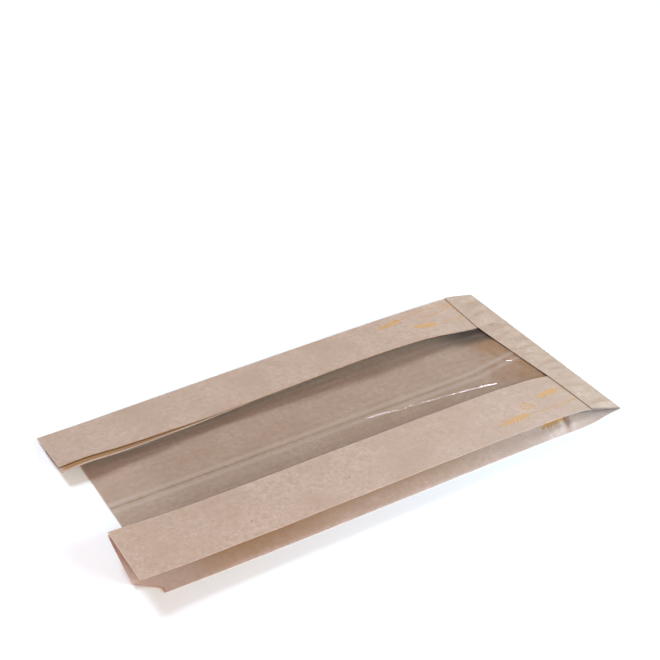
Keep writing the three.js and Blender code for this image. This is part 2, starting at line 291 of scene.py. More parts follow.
def kraft_paper(name):
    """Uncoated kraft: a warm brown with cloudy tone, mottled fibres and sparse dark flecks. Painted
    warm shade and painted deep shade darken it under edges, in folds and corners and towards the
    folded bottom. A painted highlight makes its folds, cut edges, the sides of the back seam and
    the mouth's end paler. A little warm light comes through the sheet."""
    material = new_material(name)
    nodes = material.node_tree.nodes
    shader = nodes["Principled BSDF"]
    shader.inputs["Roughness"].default_value = 0.55
    shader.inputs["Specular IOR Level"].default_value = 0.06
    place = add_node(material, "ShaderNodeTexCoord").outputs["Object"]

    def noise(scale, detail, rough):
        values = {"Scale": scale, "Detail": detail, "Roughness": rough, "Vector": place}
        return add_node(material, "ShaderNodeTexNoise", values).outputs["Fac"]

    def tone(attribute):
        return add_node(material, "ShaderNodeAttribute", attribute_name=attribute).outputs["Fac"]

    def blend(amount, first, second, low=0.0, high=1.0, most=1.0):
        values = {"From Min": low, "From Max": high, "To Max": most, "Value": amount}
        share = add_node(material, "ShaderNodeMapRange", values).outputs["Result"]
        values = {"Factor": share, "A": first, "B": second}
        return add_node(material, "ShaderNodeMix", values, data_type="RGBA").outputs["Result"]

    clouds = blend(noise(38, 4, 0.55), KRAFT_BROWN, KRAFT_DEEP, low=0.38, high=0.78)
    mottled = blend(noise(260, 4, 0.75), clouds, KRAFT_DEEP, low=0.38, high=0.64)
    fibres = blend(noise(800, 4, 0.8), mottled, FIBRE_SHADE, low=0.48, high=0.86)
    flecks = blend(noise(420, 2, 0.5), fibres, FLECK_COLOUR, low=0.71, high=0.77)
    # Painted warm shade, painted deep shade and painted highlight, each read from a tone of the
    # mesh
    glued = blend(tone("glued"), flecks, WARM_SHADE_TONE)
    deep_shade = blend(tone("deep_shade"), glued, DEEP_SHADE_TONE)
    painted_highlight = blend(tone("painted_highlight"), deep_shade, HIGHLIGHT_PALE, most=0.6)
    link(material, painted_highlight, shader.inputs["Base Color"])
    grain = {"Strength": 0.3, "Distance": 0.00008, "Height": noise(1100, 4, 0.7)}
    bump = add_node(material, "ShaderNodeBump", grain)
    link(material, bump.outputs["Normal"], shader.inputs["Normal"])
    through = add_node(material, "ShaderNodeBsdfTranslucent", {"Color": LIGHT_THROUGH_PAPER})
    both = add_node(material, "ShaderNodeMixShader",
                    {"Fac": THROUGH_SHARE, 1: shader.outputs["BSDF"], 2: through.outputs["BSDF"]})
    link(material, both.outputs["Shader"], nodes["Material Output"].inputs["Surface"])
    return material


KRAFT = kraft_paper("kraft paper")


def mouth_cut(from_fold):
    """Where a gusset column starts: at the mouth, then back along the corner cut to the back."""
    share = (CORNER_CUT_START - from_fold) / (CORNER_CUT_START - CORNER_CUT_END)
    return BACK_SETBACK * np.clip(share, 0, 1)


def half_fold(radius, points, side, direction):
    """Offsets of a half-round fold from one layer to the next: out to the given side by the cosine
    of the turn, and up or down by its sine."""
    turn = np.linspace(-math.pi / 2, math.pi / 2, points) * direction
    return side * radius * np.cos(turn), radius * np.sin(turn)


def nowhere(x, y):
    """A tone that is 0 all over."""
    return 0 * x * y


def column_block(start, y, z_of, layer, painted_highlight=0.0, glued=nowhere, deep_shade=nowhere,
                 flap_shade=0.0, mouth_light=0.0):
    """A run of neighbouring columns of a web: where each starts, its y, its height, its layer, how
    much painted highlight each has, rules for where painted warm shade and painted deep shade lie,
    how much painted deep shade it has in the flap, and how much painted light pales it behind the
    mouth."""
    y = np.atleast_1d(np.asarray(y, float))
    return dict(start=np.broadcast_to(start, y.shape).astype(float), y=y, z=z_of, glued=glued,
                deep_shade=deep_shade, flap_shade=np.full(y.shape, flap_shade), mouth_light=np.full(y.shape, mouth_light),
                layer=np.broadcast_to(layer, y.shape).astype(float),
                painted_highlight=np.broadcast_to(painted_highlight, y.shape).astype(float))


def near(distance, reach):
    """A tone that is 1 at a line and fades beside it, as a bell of the given reach."""
    return np.exp(-(distance / reach) ** 2)


# Reach of the painted highlight along a cut edge
CUT_EDGE = 0.5


def web_grid(blocks, shift):
    """Lays the columns side by side. Each row is a cross-section of the web, and the rows run from
    the mouth to the bottom fold and on to the free edge of the flap. Shift says how far sideways
    each point is moved. Returns the grid and its tones."""
    start, layers, base_y, columns_highlight, flap_shade, mouth_light = (
        np.concatenate([b[key] for b in blocks])
        for key in ("start", "layer", "y", "painted_highlight", "flap_shade", "mouth_light"))
    x = web_rows(start)
    heights, glued, deep_shade, column = [], [], [], 0
    for b in blocks:
        width = len(b["y"])
        block_x = x[:, column:column + width]
        heights.append(b["z"](block_x, b["y"][None, :]))
        glued.append(b["glued"](block_x, b["y"][None, :]))
        deep_shade.append(b["deep_shade"](block_x, b["y"][None, :]))
        column += width
    z = closing(x, np.concatenate(heights, axis=1), layers)
    y = base_y[None, :] + shift(x, base_y[None, :], layers)
    grid = turned_up(np.stack([x, y, z], -1), layers, y)
    # Painted highlight: pale lines along cut edges, round the bottom fold and along the flap's free
    # edge, on top of each column's own, and painted light that fades out behind the mouth
    flat_highlight = np.maximum(columns_highlight, near(x - start, CUT_EDGE))
    flat_highlight = np.maximum(flat_highlight, mouth_light * (1 - ease(8, 60, x)))
    past_fold = np.arange(len(grid) - len(x))
    fold_highlight = 0.35 * near(past_fold - FOLD_ROWS / 2, 2)
    edge_highlight = 0.6 * near(past_fold - past_fold[-1], 0.5)
    painted_highlight = np.concatenate([flat_highlight, (fold_highlight + edge_highlight)[:, None] + 0 * columns_highlight])
    # In the flap rows each column keeps its own share of painted deep shade
    clean = np.zeros((len(past_fold), len(base_y)))
    tones = dict(painted_highlight=painted_highlight, glued=np.concatenate([np.concatenate(glued, axis=1), clean]),
                 deep_shade=np.concatenate([np.concatenate(deep_shade, axis=1), clean + flap_shade]))
    return grid, {tone: np.tile(values.ravel(), 2) for tone, values in tones.items()}


FOLD_RADIUS = 0.05
RIGHT_FOOT = stack_height(LOWER) + 0.25
PINCH_X = 320.0
PINCH_LEAN = 0.35
PINCH_HEIGHT = 2.6


def right_valley(x):
    """Height of the right valley fold: that of the strip above it, less how far it hangs below."""
    return right_front(x, GUSSET_DEPTH) - along(RIGHT_VALLEY_DROP, np.minimum(x, FLAP_START))


def right_upper(x, y):
    """The upper gusset panel hangs under the strip: close at the fold, lower towards the valley."""
    share = y / GUSSET_DEPTH
    at_valley = right_front(x, GUSSET_DEPTH) - right_valley(x) - FOLD_RADIUS
    return right_front(x, y) - (2 * FOLD_RADIUS * (1 - share) + at_valley * share)


def right_lower(x, y):
    """The lower gusset panel lies near the table at its fold and climbs to the valley by a power of
    its share of the depth, which is 1.5 at the mouth and 0.85 further in. It has slow waves, and
    near the bottom a pinched crease: a sharp dent between two raised shoulders."""
    climb = np.clip(y / GUSSET_DEPTH, 0, 1) ** (1.5 - 0.65 * ease(0, 60, x))
    free = np.sin(np.pi * np.clip(y / GUSSET_DEPTH, 0, 1))
    wave = 0.5 * ripple(x, 2 * y, 90, 5) * free
    from_pinch = np.abs(x - PINCH_X - PINCH_LEAN * y)
    shoulder = np.minimum(from_pinch / 5, 1) * np.exp(-from_pinch / 14)
    pinch = PINCH_HEIGHT * shoulder * ease(0, 5, y) * (1 - ease(16, 34, y))
    rise = right_valley(x) - FOLD_RADIUS - RIGHT_FOOT
    return RIGHT_FOOT + rise * climb + np.maximum(wave, -0.2) + pinch


def drawn_up(x, y):
    """The bottom, held with glue, draws the back panel up, so that it meets the film at the flap's
    edge.
    """
    lift = (window_front(FLAP_START, y) - 0.55) * ease(28, 58, y) * (1 - ease(108, 131, y))
    return lift * ease(FLAP_START - 50, FLAP_START, x) ** 1.3


def right_back(x, y):
    """The back panel lies on the table and rises a little beside the back seam."""
    beside = 0.15 * near(y - SEAM_Y + 7.5, 3.6) * (1 - ease(0.8, 0.92, x / BAG_LENGTH))
    return stack_height(BACK) + beside + drawn_up(x, y)


def bottom_warm_shade(x, y):
    """Painted warm shade: the back panel darker and more orange towards the folded bottom, in an
    uneven front.
    """
    front = FLAP_START - 36 + 0.1 * (y - 50) + 6 * ripple(x, y, 34, 51) + 3 * ripple(x, y, 9, 52)
    return ease(0, 34, x - front) * np.clip(0.88 + 0.16 * ripple(x, y, 7, 53), 0, 1)


def flap_edge_shade(x, y):
    """A thin line of painted shade along the edge of the flap."""
    return 0.7 * near(x - FLAP_START, 0.9) + 0 * y


def side_fold_shade(x, y):
    """Painted deep shade at the side fold under the flap."""
    return 0.85 * ease(FLAP_START - 4, FLAP_START + 2, x) + 0 * y


def gusset_warm_shade(x, y):
    """Painted warm shade inside the gusset, from behind the mouth to the middle of the bag: 0.42
    fading to 0.22 along it, and 0.3 more where it is deeper than 14 mm."""
    shallow = (0.22 + 0.2 * (1 - ease(95, 140, x))) * ease(0, 3, y)
    length = ease(20, 70, x) * (1 - ease(0.55, 0.82, x / BAG_LENGTH))
    return (shallow + 0.3 * ease(4, 14, y)) * length


# Distances of columns from a fold: the last of the even ones, those close beside it, and the last
# one of the lower panel
BEFORE_FOLD = 1.5
BESIDE_FOLD = np.array([0.9, 0.5, 0.2, 0])
BESIDE_FOOT = 0.8


def right_blocks():
    """The right web's columns from the strip's free edge to the cut edge at the back seam."""
    blocks = []
    strip_y = np.concatenate([np.linspace(RIGHT_STRIP, BEFORE_FOLD, 46), BESIDE_FOLD])
    # Painted highlight along the strip's fold and its free edge, and painted shade along the flap's
    # edge
    edge_highlight = np.maximum(0.4 * near(strip_y, 0.5), 0.4 * near(RIGHT_STRIP - strip_y, 0.4))
    blocks.append(column_block(0, strip_y, right_front, STRIP, painted_highlight=edge_highlight, glued=flap_edge_shade))
    # Painted deep shade at the side fold under the flap and in the flap, and painted warm shade
    # inside the gusset
    side, rise = half_fold(FOLD_RADIUS, 5, -1, -1)
    top = lambda x, y: right_front(x, 0) - FOLD_RADIUS + rise[None, 1:]
    blocks.append(column_block(0, side[1:], top, np.linspace(STRIP, UPPER, 5)[1:],
                               deep_shade=side_fold_shade, flap_shade=0.8))
    upper_y = np.linspace(BEFORE_FOLD, GUSSET_DEPTH - BEFORE_FOLD, 20)
    blocks.append(column_block(0, upper_y, right_upper, UPPER, glued=gusset_warm_shade,
                               deep_shade=side_fold_shade, flap_shade=0.8))
    valley_side, valley_rise = half_fold(FOLD_RADIUS, 5, 1, -1)
    valley = lambda x, y: right_valley(x) + valley_rise[None, :]
    turn_y = GUSSET_DEPTH - FOLD_RADIUS + valley_side
    blocks.append(column_block(0, turn_y, valley, np.linspace(UPPER, LOWER, 5)))
    # Painted warm shade inside the gusset, and painted light on the lower panel behind the mouth
    lower_y = np.linspace(GUSSET_DEPTH - BEFORE_FOLD, BESIDE_FOOT, 48)
    blocks.append(column_block(mouth_cut(lower_y), lower_y, right_lower, LOWER,
                               glued=gusset_warm_shade, mouth_light=0.65))
    # Painted highlight along the foot, and painted deep shade where it runs into the flap
    middle = (RIGHT_FOOT + stack_height(BACK)) / 2
    foot_side, foot_rise = half_fold((RIGHT_FOOT - stack_height(BACK)) / 2, 6, -1, -1)
    foot = lambda x, y: middle + foot_rise[None, :] + 0 * x
    blocks.append(column_block(BACK_SETBACK, foot_side, foot, np.linspace(LOWER, BACK, 6),
                               painted_highlight=0.2, flap_shade=0.6))
    # Painted reflection: a pale band beside the back seam; painted warm shade towards the folded
    # bottom
    back_y = np.linspace(BEFORE_FOLD, SEAM_Y + SEAM_LAP, 56)
    seam_sheen = 0.8 * near(back_y - SEAM_Y + 4, 1.8)
    blocks.append(column_block(BACK_SETBACK, back_y, right_back, BACK,
                               painted_highlight=seam_sheen, glued=bottom_warm_shade))
    return blocks


def right_bow(x, y, layers):
    """Sideways bow of the bottom fold, carried into the lower and the back panel and fading out."""
    fade = 1 - ease(0, 30, y)
    low = 1 - ease(LOWER + 0.05, UPPER - 0.05, layers)
    return along(RIGHT_BOTTOM_BOW, x) * fade * low


# Left kraft web: the mirrored length of kraft paper, with the narrower left strip. Its gusset is
# less open, and its back panel laps over the right web inside the bag, glued along the back seam.

LEFT_STRIP = 45.0
LEFT_STRIP_EDGE = FACE_WIDTH - LEFT_STRIP
LEFT_FOLD_RISE = [[0, 1.9], [0.08, 2.1], [0.16, 2.7], [0.33, 4.1], [0.6, 5.8], [0.75, 6.4],
                  [0.86, 6.2], [0.927, 5.7]]
LEFT_STRIP_RISE = [[0, 7.5], [0.05, 8.5], [0.12, 7.2], [0.2, 6.7], [0.29, 6.4], [0.45, 8.1],
                   [0.68, 10.2], [0.79, 9.0], [0.84, 7.0], [0.89, 4.4], [0.927, 2.8]]
LEFT_VALLEY_DROP = [[0, 0.3], [0.07, 0.5], [0.3, 0.6], [0.5, 0.8], [0.927, 0.8]]
LEFT_TUCK = [[0, -1.2], [0.1, -0.4], [0.22, 2.0], [0.38, 5.4], [0.6, 6.5], [0.927, 6.5]]
LEFT_WAVE = 0.08
LEFT_NOSE_RADIUS = 0.35
LEFT_NOSE_GAP = 0.4
LEFT_FOOT = stack_height(LOWER) + 0.1


def left_front(x, y):
    """Height of the left strip: straight across from its fold to its free edge, with gentle waves
    that end at the fold."""
    x = np.minimum(x, FLAP_START)
    share = (FACE_WIDTH - y) / LEFT_STRIP
    flat = along(LEFT_FOLD_RISE, x) * (1 - share) + along(LEFT_STRIP_RISE, x) * share
    return flat + LEFT_WAVE * ripple(x, y, 60, 8) * ease(0, 8, FACE_WIDTH - y)


def window_front(x, y):
    """Height of the plane between the free edges of the two strips."""
    share = (y - RIGHT_STRIP) / (LEFT_STRIP_EDGE - RIGHT_STRIP)
    return right_front(x, RIGHT_STRIP) * (1 - share) + left_front(x, LEFT_STRIP_EDGE) * share


def front_height(x, y):
    """Height of the whole front: right strip, window plane and left strip, whichever y meets."""
    right, left, middle = right_front(x, y), left_front(x, y), window_front(x, y)
    return np.where(y <= RIGHT_STRIP, right, np.where(y >= LEFT_STRIP_EDGE, left, middle))


def left_valley(x):
    """Height of the left valley fold's middle: that of the strip's plane carried on to it, less how
    far it hangs below and the gap of its rounded nose."""
    edge = left_front(x, FACE_WIDTH - GUSSET_DEPTH)
    return edge - along(LEFT_VALLEY_DROP, np.minimum(x, FLAP_START)) - LEFT_NOSE_GAP


def left_upper(x, y):
    """The upper gusset panel under the left strip, dipping a little behind its valley fold."""
    share = (FACE_WIDTH - y) / GUSSET_DEPTH
    edge = left_front(x, FACE_WIDTH - GUSSET_DEPTH)
    at_valley = edge - left_valley(x) - LEFT_NOSE_RADIUS
    dip = 0.5 * np.sin(np.pi * np.clip((share - 0.5) / 0.5, 0, 1)) ** 2 * (x < FLAP_START)
    return left_front(x, y) - (2 * FOLD_RADIUS * (1 - share) + at_valley * share) - dip


def left_lower(x, y):
    """The lower gusset panel lies on the back panel at its fold and climbs to the valley."""
    climb = np.clip((FACE_WIDTH - y) / GUSSET_DEPTH, 0, 1) ** 1.6
    return LEFT_FOOT + (left_valley(x) - LEFT_NOSE_RADIUS - LEFT_FOOT) * climb


def lap_height(x, y):
    """The back panel lies on the table. It steps up one layer where it laps over the right web, and
    curls up a little towards its cut edge."""
    step = 1 - ease(SEAM_Y + SEAM_LAP + 0.3, SEAM_Y + SEAM_LAP + 1.8, y)
    curl = 0.05 * np.clip(1 - (y - SEAM_Y) / 9, 0, 1) ** 1.5 * (1 - ease(0.4, 0.8, x / BAG_LENGTH))
    return stack_height(BACK) + 1.1 * LAYER_PITCH * step + curl + drawn_up(x, y)


def corner_shade(x, y):
    """Painted deep shade in the corner between the left strip, the back panel and the flap, and in
    a thin line along the cut edge of the back seam."""
    corner = near(x - FLAP_START + 10, 22) * ease(113, 127, y + 0.1 * (x - FLAP_START + 10))
    seam = 0.15 * near(y - SEAM_Y, 0.3) * (1 - ease(0.3, 0.7, x / BAG_LENGTH))
    return np.maximum(0.95 * corner, seam)


def strip_edge_shade(x, y):
    """The flap's line of painted shade, and a thinner line of painted shade along the free edge of
    the strip.
    """
    return np.maximum(flap_edge_shade(x, y), 0.55 * near(y - LEFT_STRIP_EDGE, 0.7))


def valley_warm_shade(x, y):
    """Painted warm shade on the upper gusset panel beside its valley fold, under the strip's free
    edge, fading out from 130 to 230 mm behind the mouth.
    """
    share = 1 - ease(FACE_WIDTH - 44, FACE_WIDTH - 38, y) + 0 * x
    return share * ease(0, 4, x) * (1 - ease(130, 230, x))


def left_blocks():
    """The left web's columns from the strip's free edge to the cut edge at the back seam."""
    blocks = []
    strip_y = np.concatenate([LEFT_STRIP_EDGE + np.array([0, 0.3, 0.6]),
                              np.linspace(LEFT_STRIP_EDGE + 1, FACE_WIDTH - BEFORE_FOLD, 42),
                              FACE_WIDTH - BESIDE_FOLD])
    # Painted highlight along the strip's outer fold; painted shade along its free edge and the
    # flap's edge
    edge_highlight = 0.8 * near(FACE_WIDTH - strip_y, 0.6)
    blocks.append(column_block(0, strip_y, left_front, STRIP, painted_highlight=edge_highlight, glued=strip_edge_shade))
    # Painted highlight on the outer fold
    side, rise = half_fold(FOLD_RADIUS, 5, 1, -1)
    top = lambda x, y: left_front(x, FACE_WIDTH) - FOLD_RADIUS + rise[None, 1:]
    blocks.append(column_block(0, FACE_WIDTH + side[1:], top, np.linspace(STRIP, UPPER, 5)[1:],
                               painted_highlight=1.0))
    # Painted warm shade on the upper panel under the strip's free edge
    valley_y = FACE_WIDTH - GUSSET_DEPTH
    upper_y = np.linspace(FACE_WIDTH - BEFORE_FOLD, valley_y + BEFORE_FOLD, 30)
    blocks.append(column_block(0, upper_y, left_upper, UPPER, glued=valley_warm_shade))
    # Painted highlight along the valley fold's nose
    nose_side, nose_rise = half_fold(LEFT_NOSE_RADIUS, 7, -1, -1)
    nose = lambda x, y: left_valley(x) + nose_rise[None, :]
    nose_y = valley_y + LEFT_NOSE_RADIUS + nose_side
    blocks.append(column_block(0, nose_y, nose, np.linspace(UPPER, LOWER, 7), painted_highlight=0.7))
    # Painted deep shade in the corner by the flap
    lower_y = np.linspace(valley_y + BEFORE_FOLD, FACE_WIDTH - BESIDE_FOOT, 30)
    blocks.append(column_block(mouth_cut(FACE_WIDTH - lower_y), lower_y, left_lower, LOWER,
                               deep_shade=corner_shade))
    # Painted highlight along the foot
    middle = (LEFT_FOOT + stack_height(BACK)) / 2
    foot_side, foot_rise = half_fold((LEFT_FOOT - stack_height(BACK)) / 2, 6, 1, -1)
    foot = lambda x, y: middle + foot_rise[None, :] + 0 * x
    blocks.append(column_block(BACK_SETBACK, FACE_WIDTH + foot_side, foot,
                               np.linspace(LOWER, BACK, 6), painted_highlight=0.5))
    # Painted reflection: a pale band beside the back seam; painted warm shade towards the folded
    # bottom; painted deep shade in the corner and along the seam's cut edge
    back_y = np.concatenate([np.linspace(FACE_WIDTH - BEFORE_FOLD, SEAM_Y + 1.2, 64),
                             SEAM_Y + np.array([0.8, 0.4, 0])])
    lap_layer = 1.1 * (back_y < SEAM_Y + SEAM_LAP)
    seam_sheen = 0.9 * near(back_y - SEAM_Y - 3.5, 1.6)
    blocks.append(column_block(BACK_SETBACK, back_y, lap_height, lap_layer, painted_highlight=seam_sheen,
                               glued=bottom_warm_shade, deep_shade=corner_shade))
    return blocks


def left_shift(x, y, layers):
    """The valley fold sits fully in at the mouth and further back towards the bottom, so it is
    drawn in under the strip; the shift grows across each gusset panel from the outer fold."""
    gusset = (layers >= LOWER) & (layers < STRIP) & (y > SEAM_Y + SEAM_LAP + 10)
    return along(LEFT_TUCK, x) * np.clip((FACE_WIDTH - y) / GUSSET_DEPTH, 0, 1) * gusset


def make_web(name, node, blocks, shift):
    """One kraft web as a closed sheet that takes its node's place."""
    grid, tones = web_grid(blocks, shift)
    web = make_piece(name, [sheet_arrays(grid, PAPER_WALL)], KRAFT, tones)
    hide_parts(node)


make_web("right_kraft_side", "right_kraft_web", right_blocks(), right_bow)
make_web("left_kraft_side", "left_kraft_web", left_blocks(), left_shift)

# Wheat print: ochre ink, pressed on the outside of the paper near the bottom end before it was
# folded. Each mark here is a skin of ink that lies on its sheet and follows its height.

INK_WALL = 0.02
INK_LIFT = PAPER_WALL / 2 + 0.04
EAR_PAIRS = 7
EAR_WIDTH = 5.2
KERNEL_WIDTH = 1.7
STALK_WIDTH = 0.95
GRAIN_ANGLE = 0.62
AXIS_WIDTH = 0.35
INK_DARK = (0.42, 0.19, 0.04, 1)
INK_THIN = (0.52, 0.28, 0.10, 1)

ink = new_material("ochre ink")
ink_shader = ink.node_tree.nodes["Principled BSDF"]
ink_shader.inputs["Roughness"].default_value = 0.6
ink_shader.inputs["Specular IOR Level"].default_value = 0.3
ink_place = add_node(ink, "ShaderNodeTexCoord").outputs["Object"]
ink_grain = add_node(ink, "ShaderNodeTexNoise", {"Scale": 600, "Detail": 3, "Vector": ink_place})
ink_tones = {"Factor": ink_grain.outputs["Fac"], "A": INK_DARK, "B": INK_THIN}
ink_mix = add_node(ink, "ShaderNodeMix", ink_tones, data_type="RGBA")
link(ink, ink_mix.outputs["Result"], ink_shader.inputs["Base Color"])


def stroke(path, widths, height):
    """A pen stroke on a sheet: the path's points moved half the width to each side, square to the
    path, and lifted to the sheet's height."""
    ahead = np.gradient(path, axis=0)
    aside = np.stack([-ahead[:, 1], ahead[:, 0]], -1)
    aside /= np.maximum(np.linalg.norm(aside, axis=1, keepdims=True), 1e-9)
    offset = aside[:, None, :] * (widths[:, None] * np.array([0.5, 0, -0.5])[None, :])[:, :, None]
    flat = path[:, None, :] + offset
    z = height(flat[..., 0], flat[..., 1]) + INK_LIFT
    return sheet_arrays(np.concatenate([flat, z[..., None]], -1), INK_WALL)


def kernel(root, heading, length, height):
    """One grain: a short stroke that bends a little, thin at both ends and full in the middle."""
    t = np.linspace(0, 1, 9)
    turn = heading + 0.35 * (t - 0.5)
    path = root + length * t[:, None] * np.stack([np.cos(turn), np.sin(turn)], -1)
    return stroke(path, KERNEL_WIDTH * np.sin(np.pi * np.clip(t, 0.03, 0.97)) ** 0.7, height)


def stalk(points, height):
    """A thin stalk through three points, along the quadratic that meets all of them."""
    t = np.linspace(0, 1, 41)[:, None]
    first, middle, last = (np.array(p, float) for p in points)
    path = first * (1 - t) * (1 - 2 * t) + middle * 4 * t * (1 - t) + last * t * (2 * t - 1)
    return stroke(path, STALK_WIDTH * np.linspace(0.7, 1, 41), height)


def curl(centre, radius, height):
    """A tendril: a spiral of one and a half turns that closes in on its centre."""
    t = np.linspace(0, 1, 61)
    turn, reach = -0.6 + 3 * np.pi * t, radius * (1 - 0.75 * t)
    path = np.array(centre) + reach[:, None] * np.stack([np.cos(turn), np.sin(turn)], -1)
    return stroke(path, STALK_WIDTH * (1.25 - 0.4 * t), height)


def wheat_ear(root, tip, height):
    """An ear of wheat: pairs of grains along its axis, shorter towards the tip, and one at the
    end."""
    root, tip = np.array(root, float), np.array(tip, float)
    axis = tip - root
    length, heading = np.hypot(*axis), math.atan2(axis[1], axis[0])
    marks = [kernel(root + 0.84 * axis, heading, 0.2 * length, height)]
    for i in range(EAR_PAIRS):
        place = root + axis * (0.04 + 0.8 * i / EAR_PAIRS)
        size = EAR_WIDTH * (1 - 0.35 * (i / EAR_PAIRS) ** 2)
        for side in (-1, 1):
            marks.append(kernel(place, heading + side * GRAIN_ANGLE, size, height))
    line = root + axis * np.linspace(0, 0.85, 20)[:, None]
    marks.append(stroke(line, np.full(20, AXIS_WIDTH), height))
    return marks


def lower_panel_skin(x, y):
    """The lower gusset panel, read at the place that its sideways bow carries the mark to."""
    return right_lower(x, y - right_bow(x, y, LOWER))


right_marks = [stalk([(298, 14.4), (320, 13.2), (342.6, 16.6)], right_front),
               stalk([(336, 31.6), (340, 31.4), (342.6, 30.2)], right_front),
               curl((301.5, 22.0), 4.8, right_front)]
right_marks += wheat_ear((298.5, 14.4), (271.5, 13.0), right_front)
right_marks += wheat_ear((336.4, 31.6), (315.0, 27.4), right_front)
right_marks += wheat_ear((327.5, 10.4), (304.5, 7.0), lower_panel_skin)
right_marks.append(stalk([(360.2, 9.8), (361.4, 7.6), (362.8, 5.4)], flap_height))
make_piece("wheat_print_right", right_marks, ink)

left_marks = [stalk([(294, 170.6), (318, 173.4), (342.6, 172.6)], left_front),
              stalk([(305.5, 166.4), (324, 164.6), (342.6, 171.4)], left_front),
              stalk([(316, 151.8), (330, 152.0), (342.6, 153.4)], left_front)]
left_marks += wheat_ear((294.2, 170.6), (271.5, 166.2), left_front)
left_marks += wheat_ear((316.2, 151.8), (295.0, 154.4), left_front)
left_marks.append(stalk([(357.4, 169.4), (359.6, 168.2), (362.0, 166.6)], flap_height))
left_marks.append(stalk([(358.4, 152.8), (360.2, 152.0), (362.0, 150.6)], flap_height))
make_piece("wheat_print_left", left_marks, ink)

# Window film: a clear glossy web as long as the paper, glued along the inner faces of both strips
# and folded up with them at the bottom. It is slack, so it lies in ripples that catch the light.

FILM_WALL = 0.04
FILM_GLUE = 8.0
RIDGE_START = (197.0, 71.6)
RIDGE_END = (302.0, 58.5)
RIDGE_Y = 65.0
RIDGE_HEIGHT = 0.145
RIDGE_SWELL = 0.12
FILM_SAG = 0.7
SLACK_WAVE = 0.14

# Bowed ripples beside the flap: height, distance from one to the next, curve and its middle
BOWED_HEIGHT, BOWED_PITCH, BOWED_CURVE, BOWED_MIDDLE = 0.13, 8.0, 0.022, 95.0

# Short creases at the flap: height, start, end, half width, seed and how uneven
FLAP_CREASES = [(0.27, (324, 87.7), (347, 72.2), 1.8, 43, 0.1),
                (0.2, (318, 66), (343, 60), 1.6, 44, 0.3)]


def crease(x, y, start, end, width, seed, uneven):
    """A sharp ridge along a straight line: (1 - a^2)^2 across it with a as the share of its half
    width, faded at both ends. It goes up and down along it, so that it catches light in dashes."""
    run = np.array(end) - np.array(start)
    length = np.hypot(*run)
    ahead = ((x - start[0]) * run[0] + (y - start[1]) * run[1]) / length
    aside = ((x - start[0]) * run[1] - (y - start[1]) * run[0]) / length
    share = ahead / length
    fade = ease(-0.06, 0.03, share) * (1 - ease(0.97, 1.06, share))
    height = np.clip(1 + uneven * ripple(ahead, 0 * ahead, 22, seed, 4), 0.3, 1.3)
    return np.clip(1 - (aside / width) ** 2, 0, 1) ** 2 * fade * height


def film_lean(x, y, layers):
    """Draws the film's columns sideways, so that one of them runs along the long ridge."""
    share = np.clip((x - RIDGE_START[0]) / (RIDGE_END[0] - RIDGE_START[0]), 0, 1)
    ridge = RIDGE_START[1] * (1 - share) + RIDGE_END[1] * share
    return (ridge - RIDGE_Y) * near(y - RIDGE_Y, 12) + 0 * layers


def film_height(x, column_y):
    """The film follows the strips where glue holds it. Between them it sags a little, with a long
    crease beside the right strip, short ones at the flap and bowed ripples that gather there."""
    y = column_y + film_lean(x, column_y, 0)
    across = np.clip((y - RIGHT_STRIP) / (LEFT_STRIP_EDGE - RIGHT_STRIP), 0, 1)
    free = np.sin(np.pi * across)
    near_flap = ease(0.6, 0.84, x / BAG_LENGTH) * (1 - ease(FLAP_START - 10, FLAP_START, x))
    long_wave = SLACK_WAVE * ripple(0.2 * x, y, 26, 31) * free * ease(10, 60, x)
    long_wave = long_wave * (1 - near(y - RIDGE_Y, 9))
    bow = 2 * np.pi * (x - BOWED_CURVE * (y - BOWED_MIDDLE) ** 2) / BOWED_PITCH
    bowed = BOWED_HEIGHT * np.sin(bow) * near_flap * ease(68, 92, y) * free
    bowed = bowed * (1 + 0.6 * ripple(x, y, 40, 35))
    sag = -FILM_SAG * free * ease(20, 90, x)
    creases = RIDGE_HEIGHT * crease(x, y, RIDGE_START, RIDGE_END, width=1.4, seed=41, uneven=0.55)
    swell = near(column_y - RIDGE_Y, 3) * ease(150, 200, x) * (1 - ease(290, 330, x))
    creases += RIDGE_SWELL * swell
    for height, start, end, width, seed, uneven in FLAP_CREASES:
        creases += height * crease(x, y, start, end, width, seed, uneven)
    open_height = front_height(x, y) - LAYER_PITCH
    loose = (x < FLAP_START) * (1 - ease(FLAP_START - 3, FLAP_START, x)) * np.minimum(1, 6 * free)
    return open_height + (sag + long_wave + creases + bowed) * loose


def film_grid():
    """The film's columns: those held by glue to the right strip, the window's, closer about the
    long ridge, and those held by glue to the left strip."""
    glued_right = np.linspace(RIGHT_STRIP - FILM_GLUE, RIGHT_STRIP, 6)[:-1]
    window = np.concatenate([np.linspace(RIGHT_STRIP, RIDGE_Y - 4, 20)[:-1],
                             np.linspace(RIDGE_Y - 4, RIDGE_Y + 4, 33)[:-1],
                             np.linspace(RIDGE_Y + 4, LEFT_STRIP_EDGE, 110)])
    glued_left = np.linspace(LEFT_STRIP_EDGE, LEFT_STRIP_EDGE + FILM_GLUE, 6)[1:]
    y = np.concatenate([glued_right, window, glued_left])
    return web_grid([column_block(0, y, film_height, FILM)], film_lean)[0]


FILM_TINT = (0.936, 0.923, 0.909, 1)
GLOSS_LEAST, GLOSS_STREAK, GLOSS_AT_A_GLANCE = 0.008, 0.036, 0.3


